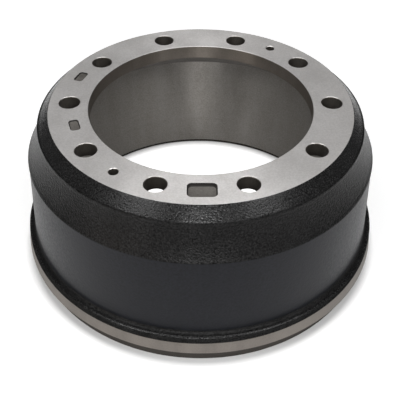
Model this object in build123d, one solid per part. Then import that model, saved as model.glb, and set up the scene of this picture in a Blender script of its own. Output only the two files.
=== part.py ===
from build123d import *
import os

# Brake drum of a heavy axle: one iron casting, turned inside and out and drilled.
# It stands on its open end. The origin is the centre of that end's plane, +Z points
# up to the mounting face, and the front of the drum is -Y.
# Lengths are in millimetres and angles in degrees.

# Overall
overall_height = 217.0

# Mounting flange
face_diameter = 387.0
bore_diameter = 286.0
flange_thickness = 19.0
edge_break = 0.8

# Conical shoulder, its depths counted down from the mounting face
crease_diameter = 417.0
crease_depth = 15.5
shoulder_diameter = 450.4
shoulder_depth = 57.0
shoulder_hollow = 1.8
shoulder_rounding = 12.0

# Barrel and rim, their heights counted up from the open end
barrel_foot_diameter = 466.4
ledge_height = 46.5
foot_rounding = 4.0
rim_top_diameter = 483.4
turned_band_top = 37.0
bead_slope = 3.0
rim_diameter = 488.6
turned_band_foot = 21.0
lip_diameter = 472.8

# Inside
braking_diameter = 410.0
braking_width = 155.0
cast_step = 1.5
inner_corner_slope = 16.0
lead_in_depth = 1.2
lead_in_height = 4.5

# Stud holes
stud_count = 10
stud_circle_diameter = 335.0
stud_hole_diameter = 26.0

# Retaining screw holes
screw_count = 2
screw_circle_diameter = 340.0
screw_hole_diameter = 12.0
screw_hole_chamfer = 0.8
screw_angle = -36.0

# Cast pockets in the mounting face: width along the circle, then length towards the centre
large_pocket_width = 33.5
large_pocket_radial = 23.0
large_pocket_depth = 4.5
large_pocket_corner = 5.5
large_pocket_circle_diameter = 338.0
large_pocket_angle = 0.0
small_pocket_width = 21.5
small_pocket_radial = 12.0
small_pocket_depth = 1.8
small_pocket_corner = 4.0
front_small_pocket_circle_diameter = 325.0
front_small_pocket_angle = -72.5
back_small_pocket_circle_diameter = 343.0
back_small_pocket_angle = -111.0

# Cutters run this far past the faces that they open
cut_clearance = 1.0


def nearest_corner(face, point):
    """The corner of a flat outline that lies nearest a point."""
    return face.vertices().sort_by_distance(point)[0]


def round_corner(face, point, radius):
    return fillet(nearest_corner(face, point), radius)


def slope_corner(face, point, length):
    return chamfer(nearest_corner(face, point), length)


def half_section():
    """The drum's wall, drawn with x as the radius and y as the height, then stood upright."""
    top = overall_height
    underside = top - flange_thickness
    bore_top = (bore_diameter / 2, top)
    bore_foot = (bore_diameter / 2, underside)
    face_edge = (face_diameter / 2, top)
    crease = (crease_diameter / 2, top - crease_depth)
    shoulder = (shoulder_diameter / 2, top - shoulder_depth)
    barrel_foot = (barrel_foot_diameter / 2, ledge_height)
    bead_corner = (rim_top_diameter / 2, ledge_height)
    band_top = (rim_top_diameter / 2, turned_band_top)
    band_foot = (rim_diameter / 2, turned_band_foot)
    lip = (lip_diameter / 2, 0)
    braking_radius = braking_diameter / 2
    lead_in_foot = (braking_radius + lead_in_depth, 0)
    braking_foot = (braking_radius, lead_in_height)
    braking_top = (braking_radius, braking_width)
    cast_foot = (braking_radius - cast_step, braking_width + cast_step)
    inner_corner = (braking_radius - cast_step, underside)

    outline = Polyline(bore_foot, bore_top, face_edge, crease)
    outline += SagittaArc(crease, shoulder, -shoulder_hollow)
    outline += Polyline(shoulder, barrel_foot, bead_corner, band_top, band_foot, lip, lead_in_foot,
                        braking_foot, braking_top, cast_foot, inner_corner, bore_foot)
    wall = make_face(outline)
    wall = round_corner(wall, shoulder, shoulder_rounding)
    wall = round_corner(wall, barrel_foot, foot_rounding)
    wall = slope_corner(wall, bead_corner, bead_slope)
    wall = slope_corner(wall, inner_corner, inner_corner_slope)
    for corner in (bore_top, face_edge):
        wall = slope_corner(wall, corner, edge_break)
    return Plane.XZ * wall


def place(radius, angle):
    """A frame on the mounting face, its y axis pointing outwards, at an angle from the front."""
    return Pos(0, 0, overall_height) * Rot(0, 0, angle) * Pos(0, -radius, 0) * Rot(0, 0, 180)


def drill(diameter):
    """A cylinder that goes right through the flange."""
    return Pos(0, 0, -flange_thickness / 2) * Cylinder(diameter / 2, flange_thickness + 2 * cut_clearance)


def chamfer_cutter(diameter, chamfer_length):
    """The cone that opens a hole's mouth in the mounting face."""
    radius = diameter / 2
    reach = chamfer_length + cut_clearance
    return Pos(0, 0, reach / 2 - chamfer_length) * Cone(radius, radius + reach, reach)


def on_circle(cutter, count, circle_diameter, first_angle):
    step = 360 / count
    return [place(circle_diameter / 2, first_angle + step * k) * cutter for k in range(count)]


def pocket_cutter(width, radial, corner, depth):
    """A rounded rectangular recess, open at the mounting face."""
    return Pos(0, 0, -depth) * extrude(RectangleRounded(width, radial, corner), depth + cut_clearance)


def pockets():
    large = pocket_cutter(large_pocket_width, large_pocket_radial, large_pocket_corner, large_pocket_depth)
    small = pocket_cutter(small_pocket_width, small_pocket_radial, small_pocket_corner, small_pocket_depth)
    return [
        place(large_pocket_circle_diameter / 2, large_pocket_angle) * large,
        place(front_small_pocket_circle_diameter / 2, front_small_pocket_angle) * small,
        place(back_small_pocket_circle_diameter / 2, back_small_pocket_angle) * small,
    ]


def make_drum():
    casting = revolve(half_section(), Axis.Z)
    screw_hole = drill(screw_hole_diameter) + chamfer_cutter(screw_hole_diameter, screw_hole_chamfer)
    first_stud_angle = 180 / stud_count
    holes = on_circle(drill(stud_hole_diameter), stud_count, stud_circle_diameter, first_stud_angle)
    holes += on_circle(screw_hole, screw_count, screw_circle_diameter, screw_angle)
    for cutter in holes + pockets():
        casting -= cutter
    return casting


os.makedirs("parts", exist_ok=True)
brake_drum = make_drum()
export_step(brake_drum, "parts/brake_drum.step")
print("brake_drum", round(brake_drum.volume / 1000), "cm3", brake_drum.bounding_box().size)
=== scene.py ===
import math

import bmesh
import bpy
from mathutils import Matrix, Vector


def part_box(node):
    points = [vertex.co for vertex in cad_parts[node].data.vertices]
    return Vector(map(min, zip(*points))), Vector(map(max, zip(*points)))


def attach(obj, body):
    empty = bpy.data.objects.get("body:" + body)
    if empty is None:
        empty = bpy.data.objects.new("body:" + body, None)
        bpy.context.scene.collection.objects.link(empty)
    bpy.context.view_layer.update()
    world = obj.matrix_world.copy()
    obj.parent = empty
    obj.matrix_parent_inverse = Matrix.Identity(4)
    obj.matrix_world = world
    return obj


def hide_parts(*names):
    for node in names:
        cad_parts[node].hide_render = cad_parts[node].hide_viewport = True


# Brake drum of a heavy axle, one iron casting, standing on its open end.
# Lengths are in millimetres and angles in degrees. Heights count up from the open end,
# and angles round the drum count from its front, which is -Y.
mm = 0.001

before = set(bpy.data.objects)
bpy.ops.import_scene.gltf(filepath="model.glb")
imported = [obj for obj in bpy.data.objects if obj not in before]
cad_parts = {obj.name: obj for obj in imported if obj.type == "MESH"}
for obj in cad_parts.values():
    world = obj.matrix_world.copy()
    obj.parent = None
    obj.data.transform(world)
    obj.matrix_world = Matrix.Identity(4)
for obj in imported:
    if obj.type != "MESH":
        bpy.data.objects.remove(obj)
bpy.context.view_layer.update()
cad_low, cad_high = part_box("brake_drum")

# Mounting flange
top = cad_high.z / mm
flange_thickness = 19.0
underside = top - flange_thickness
face_radius = 193.5
bore_radius = 143.0

# Edges left by the lathe: broken at the flange, slighter at the rim and the cast step
edge_break = 0.8
slight_rounding = 0.6

# Conical shoulder, its depths counted down from the mounting face
crease_radius = 208.5
crease_depth = 15.5
crease_height = top - crease_depth
crease_rounding = 9.0
shoulder_radius = 225.2
shoulder_depth = 57.0
shoulder_height = top - shoulder_depth
shoulder_rounding = 12.0
cone_hollow = 1.8
cone_hollow_rounding = 150.0

# Barrel, bead and turned rim
barrel_foot_radius = 233.2
ledge_height = 46.5
foot_rounding = 4.0
bead_radius = 241.7
bead_rounding = 4.0
bead_half_share = 0.98
band_top = 37.0
band_foot = 21.0
rim_radius = min(cad_high.x, cad_high.y, -cad_low.x, -cad_low.y) / mm
lip_radius = 236.4

# Inside
braking_radius = 205.0
braking_top = 155.0
cast_step = 1.5
inner_corner_rounding = 26.0
lead_in_depth = 1.2
lead_in_height = 4.5

# Holes in the flange. Their walls and the chamfers of the stud holes are painted dark: painted shade
# inside the holes. A thin ring at the upper edge of each stud chamfer is bare metal a little lighter
# than the face, and so is the whole chamfer of a screw hole. It also stands for the glint along the rim:
# a painted highlight.
stud_count = 10
stud_circle_radius = 167.5
stud_hole_radius = 13.0
stud_hole_chamfer = 1.0
screw_count = 2
screw_circle_radius = 170.0
screw_hole_radius = 6.0
screw_hole_chamfer = 0.8
screw_angle = -36.0
rim_glint_width = 0.4

# Cast pockets in the mounting face: width along the circle, then length towards the centre
large_pocket = {"width": 33.5, "radial": 23.0, "depth": 4.5, "corner": 5.5, "floor_round": 1.6}
large_pocket_circle_radius = 169.0
large_pocket_angle = 0.0
small_pocket = {"width": 21.5, "radial": 12.0, "depth": 1.8, "corner": 4.0, "floor_round": 0.8}
front_small_pocket_circle_radius = 162.5
front_small_pocket_angle = -72.5
back_small_pocket_circle_radius = 171.5
back_small_pocket_angle = -111.0
pocket_wall_lean = 0.35
pocket_mouth_depth = 0.3
pocket_mouth_flare = 0.8
pocket_floor_turns = (25, 50, 75, 90)
pocket_corner_steps = 8
least_pocket_corner = 0.3

# Fineness of the mesh
segments = 512
hole_segments = 96
skin_spacing = 2.6
plain_spacing = 14.0
guard_width = 0.8
arc_turn = 15.0
least_arc_step = 0.45
sharp_edge_angle = 32.0
merge_distance = 0.01
cutter_overrun = 0.5

# Cast skin: how deep its hollows sink and how wide they are
skin_depth = 0.22
skin_lump = 5.0
skin_seed = 4.0

# Finishes, numbered in this order on the faces. The cast ones have the uneven skin.
FINISHES = (
    "bore_wall",
    "mounting_face",
    "upper_paint",
    "black_paint",
    "barrel_paint",
    "bead_paint",
    "turned_band",
    "shaded_turned_lip",
    "open_end",
    "braking_surface",
    "lightened_raw_casting",
    "hub_seat",
    "shaded_hole_wall",
    "glinting_hole_edge",
    "shaded_pocket_wall",
    "pocket_floor",
)
CAST_FINISHES = ("upper_paint", "black_paint", "barrel_paint", "bead_paint", "lightened_raw_casting")


# Node trees

def add(tree, kind, inputs=None, **settings):
    """A node with its settings; each of its inputs is linked from a socket or given a value."""
    node = tree.nodes.new(kind)
    for name, value in settings.items():
        setattr(node, name, value)
    for key, value in (inputs or {}).items():
        if isinstance(value, bpy.types.NodeSocket):
            tree.links.new(value, node.inputs[key])
        else:
            node.inputs[key].default_value = value
    return node


def calc(tree, operation, *values):
    """A sum on numbers: the result of one Math node."""
    return add(tree, "ShaderNodeMath", dict(enumerate(values)), operation=operation).outputs[0]


def new_group(name, kind, inputs, outputs):
    """An empty node group with named sockets, with its input and output nodes."""
    group = bpy.data.node_groups.new(name, kind)
    for label, (socket_type, value) in inputs.items():
        socket = group.interface.new_socket(label, in_out="INPUT", socket_type=socket_type)
        if value is not None:
            socket.default_value = value
    for label, socket_type in outputs.items():
        group.interface.new_socket(label, in_out="OUTPUT", socket_type=socket_type)
    return group, group.nodes.new("NodeGroupInput").outputs, group.nodes.new("NodeGroupOutput").inputs


def use_group(tree, group, **values):
    """One node of a group inside another tree; a value's name has _ for each space."""
    kind = "GeometryNodeGroup" if tree.bl_idname == "GeometryNodeTree" else "ShaderNodeGroup"
    node = add(tree, kind, node_tree=group)
    for label, value in values.items():
        socket = node.inputs[label.replace("_", " ")]
        if isinstance(value, bpy.types.NodeSocket):
            tree.links.new(value, socket)
        else:
            socket.default_value = value
    return node.outputs


# The drum's half section

def section_corners():
    """Corners of the half section in order: radius, height, rounding, finish of the side after it."""
    chord = Vector((shoulder_radius - crease_radius, shoulder_height - crease_height))
    inwards = Vector((chord.y, -chord.x)).normalized() * 2 * cone_hollow
    waist = Vector((crease_radius, crease_height)) + chord / 2 + inwards
    cast_radius = braking_radius - cast_step
    # The bead's round is drawn as two halves that all but meet, each with its own finish
    half_bead = bead_rounding * (2 - math.sqrt(2))
    half_rounding = bead_half_share * bead_rounding
    return (
        (bore_radius, underside, edge_break, "bore_wall"),
        (bore_radius, top, edge_break, "mounting_face"),
        (face_radius, top, edge_break, "upper_paint"),
        (crease_radius, crease_height, crease_rounding, "black_paint"),
        (waist.x, waist.y, cone_hollow_rounding, "black_paint"),
        (shoulder_radius, shoulder_height, shoulder_rounding, "barrel_paint"),
        (barrel_foot_radius, ledge_height, foot_rounding, "black_paint"),
        (bead_radius - half_bead, ledge_height, half_rounding, "upper_paint"),
        (bead_radius, ledge_height - half_bead, half_rounding, "bead_paint"),
        (bead_radius, band_top, 0.0, "turned_band"),
        # The lip below the band and the lead-in inside the open end take a turned finish painted much
        # darker than the band: painted shade where they face down.
        (rim_radius, band_foot, slight_rounding, "shaded_turned_lip"),
        (lip_radius, 0.0, slight_rounding, "open_end"),
        (braking_radius + lead_in_depth, 0.0, 0.0, "shaded_turned_lip"),
        (braking_radius, lead_in_height, 0.0, "braking_surface"),
        # The raw casting above the braking surface is drawn lighter than dull cast iron: painted light
        # where the inner corner behind the flange lies in shade.
        (braking_radius, braking_top, 0.0, "lightened_raw_casting"),
        (cast_radius, braking_top + cast_step, slight_rounding, "lightened_raw_casting"),
        (cast_radius, underside, inner_corner_rounding, "hub_seat"),
    )


def corner_arc(before, corner, after, radius, spacing):
    """Points of the round that joins two sides of the section."""
    if radius == 0.0:
        return [corner]
    arriving = (corner - before).normalized()
    leaving = (after - corner).normalized()
    turn = arriving.angle_signed(leaving)
    reach = radius * math.tan(abs(turn) / 2)
    start = corner - arriving * reach
    side = 1.0 if turn > 0 else -1.0
    centre = start + Vector((arriving.y, -arriving.x)) * radius * side
    by_turn = min(math.degrees(abs(turn)) / arc_turn, radius * abs(turn) / least_arc_step)
    steps = math.ceil(max(by_turn, radius * abs(turn) / spacing))
    points = []
    for k in range(steps + 1):
        angle = -turn * k / steps
        arm = start - centre
        turned = Vector((arm.x * math.cos(angle) - arm.y * math.sin(angle),
                         arm.x * math.sin(angle) + arm.y * math.cos(angle)))
        points.append(centre + turned)
    return points


def side_points(start, end, spacing):
    """Points between the two ends of a straight side, with one close to each end."""
    length = (end - start).length
    if length < 4 * guard_width:
        return []
    steps = max(1, math.ceil((length - 2 * guard_width) / spacing))
    distances = [guard_width + (length - 2 * guard_width) * k / steps for k in range(steps + 1)]
    return [start + (end - start) * distance / length for distance in distances]


def section_points():
    """Points round the whole half section as (place, finish number, share of cast skin)."""
    corners = section_corners()
    count = len(corners)
    arcs = []
    for k in range(count):
        before, corner, after = (Vector(corners[(k + step) % count][:2]) for step in (-1, 0, 1))
        spacing = skin_spacing if corners[k][3] in CAST_FINISHES else plain_spacing
        arcs.append(corner_arc(before, corner, after, corners[k][2], spacing))
    points = []
    for k in range(count):
        finish = corners[k][3]
        previous = corners[k - 1][3]
        cast = finish in CAST_FINISHES
        spacing = skin_spacing if cast else plain_spacing
        along = arcs[k] + side_points(arcs[k][-1], arcs[(k + 1) % count][0], spacing)
        along.append(arcs[(k + 1) % count][0])
        following = corners[(k + 1) % count][3]
        for n, place in enumerate(along):
            at_turned_end = (n == 0 and previous not in CAST_FINISHES) or (
                n == len(along) - 1 and following not in CAST_FINISHES)
            share = 1.0 if cast and not at_turned_end else 0.0
            points.append((place, FINISHES.index(finish), share))
    return points


def section_object():
    """The half section as a closed loop of edges; x is the radius and y the height, turned down."""
    points = section_points()
    mesh = bpy.data.meshes.new("half_section")
    places = [(place.x * mm, -place.y * mm, 0.0) for place, finish, share in points]
    edges = [(k, (k + 1) % len(points)) for k in range(len(points))]
    mesh.from_pydata(places, edges, [])
    finish_numbers = mesh.attributes.new("finish", "INT", "POINT")
    finish_numbers.data.foreach_set("value", [finish for place, finish, share in points])
    skin_shares = mesh.attributes.new("skin", "FLOAT", "POINT")
    skin_shares.data.foreach_set("value", [share for place, finish, share in points])
    return bpy.data.objects.new("half_section", mesh)


# Cutters for the holes and pockets, their tops above the mounting face at height 0

def lofted_cutter(name, rings, floor_finish, side_finishes):
    """A closed solid through rings of points that run from the lowest up, capped at both ends.
    Each stretch between two rings has its own finish."""
    count = len(rings[0])
    places = [(x * mm, y * mm, z * mm) for ring in rings for x, y, z in ring]
    faces = [tuple(reversed(range(count)))]
    numbers = [FINISHES.index(floor_finish)]
    for level in range(len(rings) - 1):
        for k in range(count):
            low, high = level * count, (level + 1) * count
            after = (k + 1) % count
            faces.append((low + k, low + after, high + after, high + k))
            numbers.append(FINISHES.index(side_finishes[level]))
    faces.append(tuple(range((len(rings) - 1) * count, len(rings) * count)))
    numbers.append(FINISHES.index(side_finishes[-1]))
    mesh = bpy.data.meshes.new(name)
    mesh.from_pydata(places, [], faces)
    finish_numbers = mesh.attributes.new("finish", "INT", "FACE")
    finish_numbers.data.foreach_set("value", numbers)
    return bpy.data.objects.new(name, mesh)


def circle_ring(radius, height):
    turns = [math.tau * k / hole_segments for k in range(hole_segments)]
    return [(radius * math.cos(turn), radius * math.sin(turn), height) for turn in turns]


def hole_cutter(name, radius, chamfer, chamfer_finish):
    """Cuts a hole right through the flange, with a chamfer at each end."""
    foot = underside - top
    rings = (
        circle_ring(radius + 2 * chamfer, foot - chamfer),
        circle_ring(radius, foot + chamfer),
        circle_ring(radius, -chamfer),
        circle_ring(radius + chamfer - rim_glint_width, -rim_glint_width),
        circle_ring(radius + 2 * chamfer, chamfer),
    )
    # The stud chamfers take the painted shade of the hole walls. Only the top ring takes the lighter
    # edge finish, which is partly a painted highlight along the rim.
    side_finishes = (chamfer_finish, "shaded_hole_wall", chamfer_finish, "glinting_hole_edge")
    return lofted_cutter(name, rings, "shaded_hole_wall", side_finishes)


def pocket_ring(width, radial, corner, inset, height):
    """A rounded rectangle, x along the circle and y outwards, drawn inset from its full size."""
    radius = max(corner - inset, least_pocket_corner)
    reach_x = width / 2 - inset - radius
    reach_y = radial / 2 - inset - radius
    ring = []
    for quarter, (side_x, side_y) in enumerate(((1, 1), (-1, 1), (-1, -1), (1, -1))):
        for k in range(pocket_corner_steps + 1):
            turn = math.radians(90 * (quarter + k / pocket_corner_steps))
            x = side_x * reach_x + radius * math.cos(turn)
            y = side_y * reach_y + radius * math.sin(turn)
            ring.append((x, y, height))
    return ring


def pocket_cutter(name, width, radial, depth, corner, floor_round):
    """Cuts a pocket whose walls lean outwards a little and run into its floor in a round."""
    rings = [pocket_ring(width, radial, corner, pocket_wall_lean + floor_round, -depth)]
    for angle in pocket_floor_turns:
        turn = math.radians(angle)
        inset = pocket_wall_lean + floor_round * (1 - math.sin(turn))
        height = -depth + floor_round * (1 - math.cos(turn))
        rings.append(pocket_ring(width, radial, corner, inset, height))
    rings.append(pocket_ring(width, radial, corner, 0.0, -pocket_mouth_depth))
    rings.append(pocket_ring(width, radial, corner, -pocket_mouth_flare, cutter_overrun))
    # The pocket walls take a finish painted far darker than the pocket floor: painted shade on the walls
    # of the recess.
    side_finishes = ["pocket_floor"] + ["shaded_pocket_wall"] * (len(rings) - 2)
    return lofted_cutter(name, rings, "pocket_floor", side_finishes)


# The geometry tree that sweeps, roughens and drills the casting

def sweep_group():
    """Sweeps the half section round the axis and numbers each face with its finish."""
    group, given, result = new_group("turned_section", "GeometryNodeTree", {
        "Section": ("NodeSocketGeometry", None),
        "Segments": ("NodeSocketInt", segments),
    }, {"Mesh": "NodeSocketGeometry"})
    profile = add(group, "GeometryNodeMeshToCurve", {"Mesh": given["Section"]})
    path = add(group, "GeometryNodeCurvePrimitiveCircle", {
        "Resolution": given["Segments"], "Radius": 1.0})
    unit_left_out = add(group, "GeometryNodeSetPosition", {
        "Geometry": profile.outputs[0], "Offset": (-1.0, 0.0, 0.0)})
    upright = add(group, "GeometryNodeSetCurveNormal", {"Curve": path.outputs[0]}, mode="Z_UP")
    swept = add(group, "GeometryNodeCurveToMesh", {
        "Curve": upright.outputs[0], "Profile Curve": unit_left_out.outputs[0]})
    finish = add(group, "GeometryNodeInputNamedAttribute", {"Name": "finish"}, data_type="INT")
    numbered = add(group, "GeometryNodeStoreNamedAttribute", {
        "Geometry": swept.outputs[0], "Name": "finish", "Value": finish.outputs[0]},
        data_type="INT", domain="FACE")
    joined = add(group, "GeometryNodeMergeByDistance", {
        "Geometry": numbered.outputs[0], "Distance": merge_distance * mm})
    group.links.new(joined.outputs[0], result["Mesh"])
    return group


def skin_group():
    """Sinks the cast stretches unevenly below the drawn section, as a sand mould leaves them."""
    group, given, result = new_group("cast_skin", "GeometryNodeTree", {
        "Mesh": ("NodeSocketGeometry", None),
        "Depth": ("NodeSocketFloat", skin_depth * mm),
        "Lump size": ("NodeSocketFloat", skin_lump * mm),
        "Seed": ("NodeSocketFloat", skin_seed),
    }, {"Mesh": "NodeSocketGeometry"})
    lumps = add(group, "ShaderNodeTexNoise", {
        "Vector": add(group, "GeometryNodeInputPosition").outputs[0],
        "W": given["Seed"],
        "Scale": calc(group, "DIVIDE", 1.0, given["Lump size"]),
        "Detail": 2.0}, noise_dimensions="4D")
    share = add(group, "GeometryNodeInputNamedAttribute", {"Name": "skin"}, data_type="FLOAT")
    sunk = calc(group, "MULTIPLY", calc(group, "MULTIPLY", lumps.outputs[0], -1.0), given["Depth"])
    height = calc(group, "MULTIPLY", sunk, share.outputs[0])
    offset = add(group, "ShaderNodeVectorMath", {
        0: add(group, "GeometryNodeInputNormal").outputs[0], "Scale": height}, operation="SCALE")
    moved = add(group, "GeometryNodeSetPosition", {
        "Geometry": given["Mesh"], "Offset": offset.outputs[0]})
    group.links.new(moved.outputs[0], result["Mesh"])
    return group


def ring_group():
    """Copies of one cutter, evenly spaced on a circle in the mounting face."""
    group, given, result = new_group("cutters_on_a_circle", "GeometryNodeTree", {
        "Cutter": ("NodeSocketObject", None),
        "Count": ("NodeSocketInt", 1),
        "Circle radius": ("NodeSocketFloat", 0.1),
        "First angle": ("NodeSocketFloat", 0.0),
        "Step": ("NodeSocketFloat", 0.0),
        "Height": ("NodeSocketFloat", 0.1),
    }, {"Cutters": "NodeSocketGeometry"})
    points = add(group, "GeometryNodePoints", {"Count": given["Count"], "Radius": 0.001})
    index = add(group, "GeometryNodeInputIndex").outputs[0]
    angle = calc(group, "MULTIPLY_ADD", index, given["Step"], given["First angle"])
    across = calc(group, "MULTIPLY", calc(group, "SINE", angle), given["Circle radius"])
    backwards = calc(group, "MULTIPLY", calc(group, "COSINE", angle), -1.0)
    forwards = calc(group, "MULTIPLY", backwards, given["Circle radius"])
    place = add(group, "ShaderNodeCombineXYZ", {0: across, 1: forwards, 2: given["Height"]})
    spread = add(group, "GeometryNodeSetPosition", {
        "Geometry": points.outputs[0], "Position": place.outputs[0]})
    source = add(group, "GeometryNodeObjectInfo", {"Object": given["Cutter"]})
    facing = add(group, "ShaderNodeCombineXYZ", {2: calc(group, "ADD", angle, math.pi)})
    copies = add(group, "GeometryNodeInstanceOnPoints", {
        "Points": spread.outputs[0], "Instance": source.outputs["Geometry"],
        "Rotation": facing.outputs[0]})
    real = add(group, "GeometryNodeRealizeInstances", {"Geometry": copies.outputs[0]})
    group.links.new(real.outputs[0], result["Cutters"])
    return group


def casting_tree(cutters, finishes):
    """The whole casting from its half section. A row of cutters holds the cutter object, how many,
    the radius of their circle, the angle of the first and the step from one to the next."""
    sizes = {
        "Geometry": ("NodeSocketGeometry", None),
        "Segments": ("NodeSocketInt", segments),
        "Skin depth": ("NodeSocketFloat", skin_depth * mm),
        "Skin lump": ("NodeSocketFloat", skin_lump * mm),
        "Skin seed": ("NodeSocketFloat", skin_seed),
        "Face height": ("NodeSocketFloat", top * mm),
    }
    for cutter, count, radius, first_angle, step in cutters:
        sizes[cutter.name] = ("NodeSocketObject", None)
        sizes[cutter.name + " count"] = ("NodeSocketInt", count)
        sizes[cutter.name + " circle radius"] = ("NodeSocketFloat", radius * mm)
    tree, given, result = new_group("brake_drum_casting", "GeometryNodeTree", sizes,
                                    {"Geometry": "NodeSocketGeometry"})
    swept = use_group(tree, sweep_group(), Section=given["Geometry"], Segments=given["Segments"])
    rough = use_group(tree, skin_group(), Mesh=swept[0], Depth=given["Skin depth"],
                      Lump_size=given["Skin lump"], Seed=given["Skin seed"])
    drilled = add(tree, "GeometryNodeMeshBoolean", {"Mesh 1": rough[0]},
                  operation="DIFFERENCE", solver="MANIFOLD")
    ring = ring_group()
    for cutter, count, radius, first_angle, step in cutters:
        copies = use_group(
            tree, ring, Cutter=given[cutter.name], Count=given[cutter.name + " count"],
            Circle_radius=given[cutter.name + " circle radius"], Height=given["Face height"],
            First_angle=math.radians(first_angle), Step=math.radians(step))
        tree.links.new(copies[0], drilled.inputs["Mesh 2"])
    shape = add(tree, "GeometryNodeRealizeInstances", {"Geometry": drilled.outputs[0]}).outputs[0]
    finish = add(tree, "GeometryNodeInputNamedAttribute", {"Name": "finish"}, data_type="INT").outputs[0]
    for number, name in enumerate(FINISHES):
        chosen = add(tree, "FunctionNodeCompare", {"A": finish, "B": number},
                     data_type="INT", operation="EQUAL")
        shape = add(tree, "GeometryNodeSetMaterial", {
            "Geometry": shape, "Selection": chosen.outputs[0], "Material": finishes[name]}).outputs[0]
    tree.links.new(shape, result["Geometry"])
    return tree


def set_input(modifier, label, value):
    """Gives a modifier's input its value, by the identifier of the tree's socket."""
    for item in modifier.node_group.interface.items_tree:
        if item.name == label and item.in_out == "INPUT":
            modifier[item.identifier] = value


def make_casting(finishes):
    """The finished casting as one plain mesh."""
    stud_step = 360.0 / stud_count
    screw_step = 360.0 / screw_count
    stud_hole = hole_cutter("Stud hole", stud_hole_radius, stud_hole_chamfer, "shaded_hole_wall")
    screw_hole = hole_cutter("Screw hole", screw_hole_radius, screw_hole_chamfer, "glinting_hole_edge")
    large = pocket_cutter("Large pocket", **large_pocket)
    front_small = pocket_cutter("Front small pocket", **small_pocket)
    back_small = pocket_cutter("Back small pocket", **small_pocket)
    cutters = (
        (stud_hole, stud_count, stud_circle_radius, stud_step / 2, stud_step),
        (screw_hole, screw_count, screw_circle_radius, screw_angle, screw_step),
        (large, 1, large_pocket_circle_radius, large_pocket_angle, 0.0),
        (front_small, 1, front_small_pocket_circle_radius, front_small_pocket_angle, 0.0),
        (back_small, 1, back_small_pocket_circle_radius, back_small_pocket_angle, 0.0),
    )
    helpers = [section_object()] + [row[0] for row in cutters]
    for helper in helpers:
        bpy.context.scene.collection.objects.link(helper)
    modifier = helpers[0].modifiers.new("casting", "NODES")
    modifier.node_group = casting_tree(cutters, finishes)
    for row in cutters:
        set_input(modifier, row[0].name, row[0])
    shape = helpers[0].evaluated_get(bpy.context.evaluated_depsgraph_get())
    mesh = bpy.data.meshes.new_from_object(shape)
    for helper in helpers:
        bpy.data.objects.remove(helper)
    mesh.name = "drum_casting"
    repair = bmesh.new()
    repair.from_mesh(mesh)
    if repair.calc_volume(signed=True) < 0:
        bmesh.ops.reverse_faces(repair, faces=repair.faces)
    repair.to_mesh(mesh)
    repair.free()
    mesh.shade_smooth()
    mesh.set_sharp_from_angle(angle=math.radians(sharp_edge_angle))
    if mesh.materials[0] is None:
        mesh.materials.pop(index=0)
    casting = bpy.data.objects.new("drum_casting", mesh)
    bpy.context.scene.collection.objects.link(casting)
    return casting


# Finishes

def grain_group():
    """Grain of a sand-cast skin: its height and a mask that is 0 in its pits."""
    pit_level = 0.3
    crest_level = 0.72
    group, given, result = new_group("cast_grain", "ShaderNodeTree", {
        "Grain size": ("NodeSocketFloat", 1.6 * mm),
        "Detail": ("NodeSocketFloat", 2.0),
    }, {"Height": "NodeSocketFloat", "Pits": "NodeSocketFloat"})
    place = add(group, "ShaderNodeTexCoord").outputs["Object"]
    scale = calc(group, "DIVIDE", 1.0, given["Grain size"])
    fine = add(group, "ShaderNodeTexNoise", {
        "Vector": place, "Scale": scale, "Detail": given["Detail"], "Roughness": 0.75})
    pits = add(group, "ShaderNodeMapRange", {
        "Value": fine.outputs[0], "From Min": pit_level, "From Max": crest_level})
    group.links.new(fine.outputs[0], result["Height"])
    group.links.new(pits.outputs[0], result["Pits"])
    return group


def turning_group():
    """Fine grooves that a lathe tool leaves, on a face and on a cylinder alike, and uneven bands."""
    bands_per_groove = 0.12
    group, given, result = new_group("turning_marks", "ShaderNodeTree", {
        "Pitch": ("NodeSocketFloat", 0.9 * mm),
    }, {"Height": "NodeSocketFloat", "Bands": "NodeSocketFloat"})
    place = add(group, "ShaderNodeTexCoord").outputs["Object"]
    parts = add(group, "ShaderNodeSeparateXYZ", {0: place}).outputs
    radius = calc(group, "SQRT", calc(group, "ADD", calc(group, "MULTIPLY", parts[0], parts[0]),
                                      calc(group, "MULTIPLY", parts[1], parts[1])))
    along = calc(group, "ADD", radius, parts[2])
    scale = calc(group, "DIVIDE", 1.0, given["Pitch"])
    grooves = add(group, "ShaderNodeTexNoise", {
        "W": along, "Scale": scale, "Detail": 2.0}, noise_dimensions="1D")
    bands = add(group, "ShaderNodeTexNoise", {
        "W": along, "Scale": calc(group, "MULTIPLY", scale, bands_per_groove), "Detail": 3.0},
        noise_dimensions="1D")
    group.links.new(grooves.outputs[0], result["Height"])
    group.links.new(bands.outputs[0], result["Bands"])
    return group


def patch_group():
    """Soft uneven patches, such as handling marks and stain, longer upright than across."""
    squeeze = (1.0, 1.0, 0.3)
    clean_level = 0.3
    full_level = 0.7
    group, given, result = new_group("uneven_patches", "ShaderNodeTree", {
        "Patch size": ("NodeSocketFloat", 40.0 * mm),
    }, {"Patches": "NodeSocketFloat"})
    place = add(group, "ShaderNodeTexCoord").outputs["Object"]
    drawn_out = add(group, "ShaderNodeVectorMath", {0: place, 1: squeeze}, operation="MULTIPLY")
    noise = add(group, "ShaderNodeTexNoise", {
        "Vector": drawn_out.outputs[0], "Scale": calc(group, "DIVIDE", 1.0, given["Patch size"]),
        "Detail": 4.0, "Roughness": 0.55})
    spread = add(group, "ShaderNodeMapRange", {
        "Value": noise.outputs[0], "From Min": clean_level, "From Max": full_level})
    group.links.new(spread.outputs[0], result["Patches"])
    return group


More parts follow.
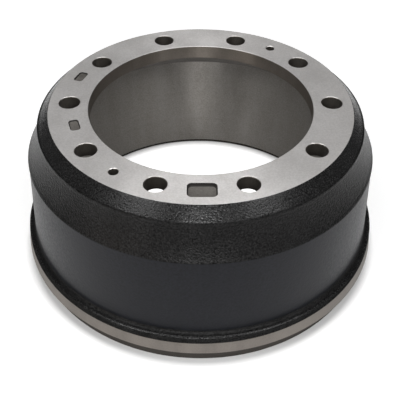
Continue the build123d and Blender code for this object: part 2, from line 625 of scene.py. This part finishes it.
def colour_between(tree, factor, low, high):
    """A colour that runs from low to high with a factor."""
    mix = add(tree, "ShaderNodeMix", {"Factor": factor}, data_type="RGBA")
    mix.inputs[6].default_value = (*low, 1.0)
    mix.inputs[7].default_value = (*high, 1.0)
    return mix.outputs[2]


def value_between(tree, factor, low, high):
    """A value that runs from low to high with a factor."""
    ramp = add(tree, "ShaderNodeMapRange", {"Value": factor, "To Min": low, "To Max": high})
    return ramp.outputs[0]


def new_material(name):
    """A material with its tree and its Principled shader, both empty of values."""
    material = bpy.data.materials.new(name)
    material.use_nodes = True
    tree = material.node_tree
    return material, tree, tree.nodes["Principled BSDF"]


def bumped(tree, height, distance):
    """A normal that follows a height; the distance is how deep its relief is."""
    return add(tree, "ShaderNodeBump", {"Height": height, "Distance": distance * mm}).outputs[0]


def turned_metal(name, groups, low, high, metallic=0.7, roughness=0.42, grooves=0.02, pitch=0.9,
                 bands=0.5, speckle=0.5, mottle=1.0, streak=0.0, gloss=0.5):
    """Bare iron left by the lathe: a colour range with bands, speckle and soft patches, over
    fine grooves. The streak is how far the grooves draw a highlight out across them."""
    speckle_size = 2.0
    patch_size = 35.0
    roughness_spread = 0.04
    quarter_turn = 0.25
    material, tree, shader = new_material(name)
    marks = use_group(tree, groups["turning"], Pitch=pitch * mm)
    grain = use_group(tree, groups["grain"], Grain_size=speckle_size * mm)
    patches = use_group(tree, groups["patches"], Patch_size=patch_size * mm)
    mottled = value_between(tree, patches["Patches"], 0.5 - 0.5 * mottle, 0.5 + 0.5 * mottle)
    banded = calc(tree, "MULTIPLY_ADD", calc(tree, "SUBTRACT", marks["Bands"], 0.5), bands, mottled)
    tone = calc(tree, "MULTIPLY_ADD", calc(tree, "SUBTRACT", grain["Pits"], 0.5), speckle, banded)
    tree.links.new(colour_between(tree, tone, low, high), shader.inputs["Base Color"])
    rough = value_between(tree, tone, roughness - roughness_spread, roughness + roughness_spread)
    tree.links.new(rough, shader.inputs["Roughness"])
    tree.links.new(bumped(tree, marks["Height"], grooves), shader.inputs["Normal"])
    shader.inputs["Metallic"].default_value = metallic
    shader.inputs["Specular IOR Level"].default_value = gloss
    if streak:
        round_axis = add(tree, "ShaderNodeTangent", direction_type="RADIAL", axis="Z")
        tree.links.new(round_axis.outputs[0], shader.inputs["Tangent"])
        shader.inputs["Anisotropic"].default_value = streak
        shader.inputs["Anisotropic Rotation"].default_value = quarter_turn
    return material


def cast_metal(name, groups, low, high, roughness=0.7, grain_size=1.8, relief=0.3):
    """Bare cast skin: rough, dull and uneven."""
    patch_size = 18.0
    roughness_spread = 0.15
    metallic = 0.2
    material, tree, shader = new_material(name)
    grain = use_group(tree, groups["grain"], Grain_size=grain_size * mm)
    patches = use_group(tree, groups["patches"], Patch_size=patch_size * mm)
    tone = calc(tree, "MULTIPLY", calc(tree, "ADD", patches["Patches"], grain["Pits"]), 0.5)
    tree.links.new(colour_between(tree, tone, low, high), shader.inputs["Base Color"])
    rough = value_between(tree, grain["Height"], roughness, roughness + roughness_spread)
    tree.links.new(rough, shader.inputs["Roughness"])
    tree.links.new(bumped(tree, grain["Height"], relief), shader.inputs["Normal"])
    shader.inputs["Metallic"].default_value = metallic
    return material


def black_paint(name, groups, low, high, gloss, roughness, grain_size, relief,
                sheen=(1.0, 1.0, 1.0)):
    """Black paint over the cast skin, which shows through it as grain. The sheen is the tint
    of its gloss."""
    grain_detail = 0.8
    patch_size = 30.0
    patch_contrast = 0.5
    least_tone = 0.6
    smoother = 0.05
    rougher = 0.08
    material, tree, shader = new_material(name)
    grain = use_group(tree, groups["grain"], Grain_size=grain_size * mm, Detail=grain_detail)
    patches = use_group(tree, groups["patches"], Patch_size=patch_size * mm)
    lightest = calc(tree, "MULTIPLY_ADD", patches["Patches"], patch_contrast, least_tone)
    tone = value_between(tree, grain["Pits"], 0.0, lightest)
    tree.links.new(colour_between(tree, tone, low, high), shader.inputs["Base Color"])
    rough = value_between(tree, grain["Pits"], roughness - smoother, roughness + rougher)
    tree.links.new(rough, shader.inputs["Roughness"])
    tree.links.new(bumped(tree, grain["Height"], relief), shader.inputs["Normal"])
    shader.inputs["Specular IOR Level"].default_value = gloss
    shader.inputs["Specular Tint"].default_value = (*sheen, 1.0)
    return material


# The colours of a finish run from low to high; sizes and depths of its marks in millimetres
TURNED_METALS = {
    "bore_wall": dict(low=(0.133, 0.116, 0.099), high=(0.190, 0.168, 0.146),
                      roughness=0.42, grooves=0.03, pitch=1.2, streak=0.87),
    "mounting_face": dict(low=(0.48, 0.465, 0.455), high=(0.58, 0.565, 0.555),
                          metallic=0.45, roughness=0.5, pitch=0.7, bands=0.15,
                          speckle=1.4, mottle=0.9, streak=0.8),
    "turned_band": dict(low=(0.118, 0.105, 0.092), high=(0.175, 0.156, 0.139),
                        metallic=0.3, roughness=0.55, grooves=0.03, pitch=1.0),
    # The same turned iron as the band, painted darker as painted shade where it faces down towards the
    # floor.
    "shaded_turned_lip": dict(low=(0.038, 0.034, 0.030), high=(0.052, 0.047, 0.042),
                       metallic=0.0, roughness=0.75, grooves=0.03, pitch=1.0, gloss=0.04),
    "open_end": dict(low=(0.24, 0.22, 0.20), high=(0.31, 0.29, 0.27), roughness=0.5),
    "braking_surface": dict(low=(0.235, 0.220, 0.201), high=(0.33, 0.313, 0.292),
                            metallic=0.9, roughness=0.4, bands=0.2, speckle=1.1,
                            mottle=0.7, streak=0.86),
    "hub_seat": dict(low=(0.26, 0.24, 0.22), high=(0.32, 0.30, 0.28), roughness=0.45, pitch=0.8),
    # Painted shade: the hole walls are turned from the same flange as the bore wall but are drawn far
    # darker, over a brownish tone.
    "shaded_hole_wall": dict(low=(0.045, 0.040, 0.034), high=(0.08, 0.072, 0.063),
                      metallic=0.6, roughness=0.45, grooves=0.03, pitch=1.0),
    # Bare metal a little lighter than the face, partly a painted highlight along the hole rims.
    "glinting_hole_edge": dict(low=(0.50, 0.48, 0.46), high=(0.66, 0.64, 0.62), roughness=0.38),
}
BLACK_PAINTS = {
    "upper_paint": dict(low=(0.0035, 0.0035, 0.0035), high=(0.0185, 0.0183, 0.0185),
                        gloss=0.25, roughness=0.23, grain_size=1.8, relief=0.28),
    "black_paint": dict(low=(0.0018, 0.0018, 0.0018), high=(0.019, 0.0187, 0.0188),
                        gloss=0.12, roughness=0.34, grain_size=2.0, relief=0.7),
    "barrel_paint": dict(low=(0.0024, 0.0028, 0.0038), high=(0.0075, 0.0083, 0.0112),
                         gloss=0.16, roughness=0.37, grain_size=2.8, relief=0.13,
                         sheen=(0.94, 0.94, 1.0)),
    "bead_paint": dict(low=(0.007, 0.007, 0.007), high=(0.030, 0.0298, 0.0296),
                       gloss=0.0, roughness=0.32, grain_size=1.9, relief=0.6),
}
CAST_METALS = {
    # Drawn lighter than dull cast iron, as painted light where the inner corner behind the flange lies
    # in shade.
    "lightened_raw_casting": dict(low=(0.12, 0.11, 0.10), high=(0.17, 0.16, 0.15)),
    # The same cast skin as the pocket floor, painted much darker as painted shade on the walls of the
    # recess.
    "shaded_pocket_wall": dict(low=(0.008, 0.007, 0.006), high=(0.018, 0.016, 0.014),
                        roughness=0.65, grain_size=1.2, relief=0.15),
    "pocket_floor": dict(low=(0.05, 0.045, 0.04), high=(0.15, 0.14, 0.128),
                         roughness=0.65, grain_size=2.2, relief=0.4),
}


def make_finishes():
    """Every finish by its name."""
    groups = {"grain": grain_group(), "turning": turning_group(), "patches": patch_group()}
    kinds = ((turned_metal, TURNED_METALS), (black_paint, BLACK_PAINTS), (cast_metal, CAST_METALS))
    finishes = {}
    for make, table in kinds:
        for name, values in table.items():
            finishes[name] = make(name, groups, **values)
    return finishes


# Stage, light and camera

WHITE = (1.0, 1.0, 1.0)
WARM = (1.0, 0.88, 0.76)

# Each lamp's name, angle, elevation, distance, width, height, brightness and colour,
# its distance and sizes in metres
LAMPS = (
    ("front_left", -46.0, 47.0, 1.8, 0.6, 0.5, 8.4, WHITE),
    ("front_right", 46.0, 47.0, 1.8, 0.6, 0.5, 8.0, WHITE),
    ("front_middle", 0.0, 29.0, 1.8, 0.4, 0.42, 28.0, WHITE),
    ("front_left_low", -47.0, 8.0, 1.6, 0.5, 0.4, 4.0, WARM),
    ("front_right_low", 47.0, 8.0, 1.6, 0.5, 0.4, 1.8, WHITE),
    ("overhead", 0.0, 80.0, 0.9, 0.8, 0.5, 3.1, WHITE),
)


def make_floor():
    """A white floor that keeps the soft shadow; where it shows through the drum, it stays white."""
    colour = (0.72, 0.72, 0.72, 1.0)
    half_side = 800.0 * mm
    inside_glow = 0.85
    inside_edge = (braking_radius + 2.0) * mm
    inside_full = (braking_radius - 14.0) * mm
    foot_glow = 0.49
    foot_edge = (rim_radius - 2.0) * mm
    foot_full = (rim_radius + 10.0) * mm
    far_glow = 0.35
    far_edge = 300.0 * mm
    far_full = 800.0 * mm
    material, tree, shader = new_material("white_floor")
    tree.nodes.remove(shader)
    place = add(tree, "ShaderNodeTexCoord").outputs["Object"]
    distance = add(tree, "ShaderNodeVectorMath", {0: place}, operation="LENGTH").outputs["Value"]
    inside = add(tree, "ShaderNodeMapRange", {
        "Value": distance, "From Min": inside_edge, "From Max": inside_full,
        "To Min": 0.0, "To Max": inside_glow}).outputs[0]
    path = add(tree, "ShaderNodeLightPath").outputs
    seen = calc(tree, "MAXIMUM", calc(tree, "MAXIMUM", path["Is Camera Ray"], path["Is Glossy Ray"]),
                path["Is Transmission Ray"])
    away = add(tree, "ShaderNodeMapRange", {
        "Value": distance, "From Min": foot_edge, "From Max": foot_full,
        "To Min": 0.0, "To Max": foot_glow}).outputs[0]
    far = add(tree, "ShaderNodeMapRange", {
        "Value": distance, "From Min": far_edge, "From Max": far_full,
        "To Min": 0.0, "To Max": far_glow}).outputs[0]
    outside = calc(tree, "MULTIPLY", seen, calc(tree, "ADD", away, far))
    glow_strength = calc(tree, "MULTIPLY_ADD", inside, path["Is Camera Ray"], outside)
    matt = add(tree, "ShaderNodeBsdfDiffuse", {"Color": colour})
    glow = add(tree, "ShaderNodeEmission", {"Strength": glow_strength})
    both = add(tree, "ShaderNodeAddShader", {0: matt.outputs[0], 1: glow.outputs[0]})
    tree.links.new(both.outputs[0], tree.nodes["Material Output"].inputs["Surface"])
    corners = [(x * half_side, y * half_side, 0.0) for x, y in ((-1, -1), (1, -1), (1, 1), (-1, 1))]
    mesh = bpy.data.meshes.new("floor")
    mesh.from_pydata(corners, [], [(0, 1, 2, 3)])
    mesh.materials.append(material)
    floor = bpy.data.objects.new("floor", mesh)
    bpy.context.scene.collection.objects.link(floor)


def softbox(name, angle, elevation, distance, width, height, brightness, colour):
    """A soft lamp aimed at the drum, its place given by an angle from the front, an elevation
    and a distance."""
    turn = math.radians(angle)
    rise = math.radians(elevation)
    middle = Vector((0.0, 0.0, 120.0 * mm))
    level = math.cos(rise)
    away = Vector((math.sin(turn) * level, -math.cos(turn) * level, math.sin(rise)))
    lamp = bpy.data.lights.new(name, "AREA")
    lamp.shape = "RECTANGLE"
    lamp.size = width
    lamp.size_y = height
    lamp.energy = brightness * math.pi * width * height
    lamp.color = colour
    holder = bpy.data.objects.new(name, lamp)
    holder.location = middle + away * distance
    holder.rotation_euler = (-away).to_track_quat("-Z", "Y").to_euler()
    holder.visible_camera = False
    bpy.context.scene.collection.objects.link(holder)


def make_lights():
    """A white room that shines faintly on the drum, and the lamps."""
    shine = 0.12
    world = bpy.data.worlds.new("studio")
    bpy.context.scene.world = world
    world.use_nodes = True
    tree = world.node_tree
    surround = tree.nodes["Background"]
    path = add(tree, "ShaderNodeLightPath").outputs
    strength = value_between(tree, path["Is Camera Ray"], shine, 1.0)
    surround.inputs["Color"].default_value = (*WHITE, 1.0)
    tree.links.new(strength, surround.inputs["Strength"])
    for lamp in LAMPS:
        softbox(*lamp)


def make_camera():
    """The camera stands in front of the drum, a little to the left, and looks down into it."""
    orbit = -0.8
    distance = 734.48 * mm
    height = 712.28 * mm
    pitch_down = 42.06
    roll = 0.505
    lens = bpy.data.cameras.new("camera")
    lens.sensor_width = 36.0
    lens.lens = 61.84
    camera = bpy.data.objects.new("camera", lens)
    turn = math.radians(orbit)
    camera.location = (math.sin(turn) * distance, -math.cos(turn) * distance, height)
    camera.rotation_euler = (math.radians(90.0 - pitch_down), 0.0, turn)
    camera.rotation_euler.rotate_axis("Z", math.radians(roll))
    bpy.context.scene.collection.objects.link(camera)
    bpy.context.scene.camera = camera


make_camera()
make_floor()
make_lights()
bpy.context.scene.view_settings.view_transform = "Standard"

drum = make_casting(make_finishes())
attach(drum, "root")
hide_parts("brake_drum")
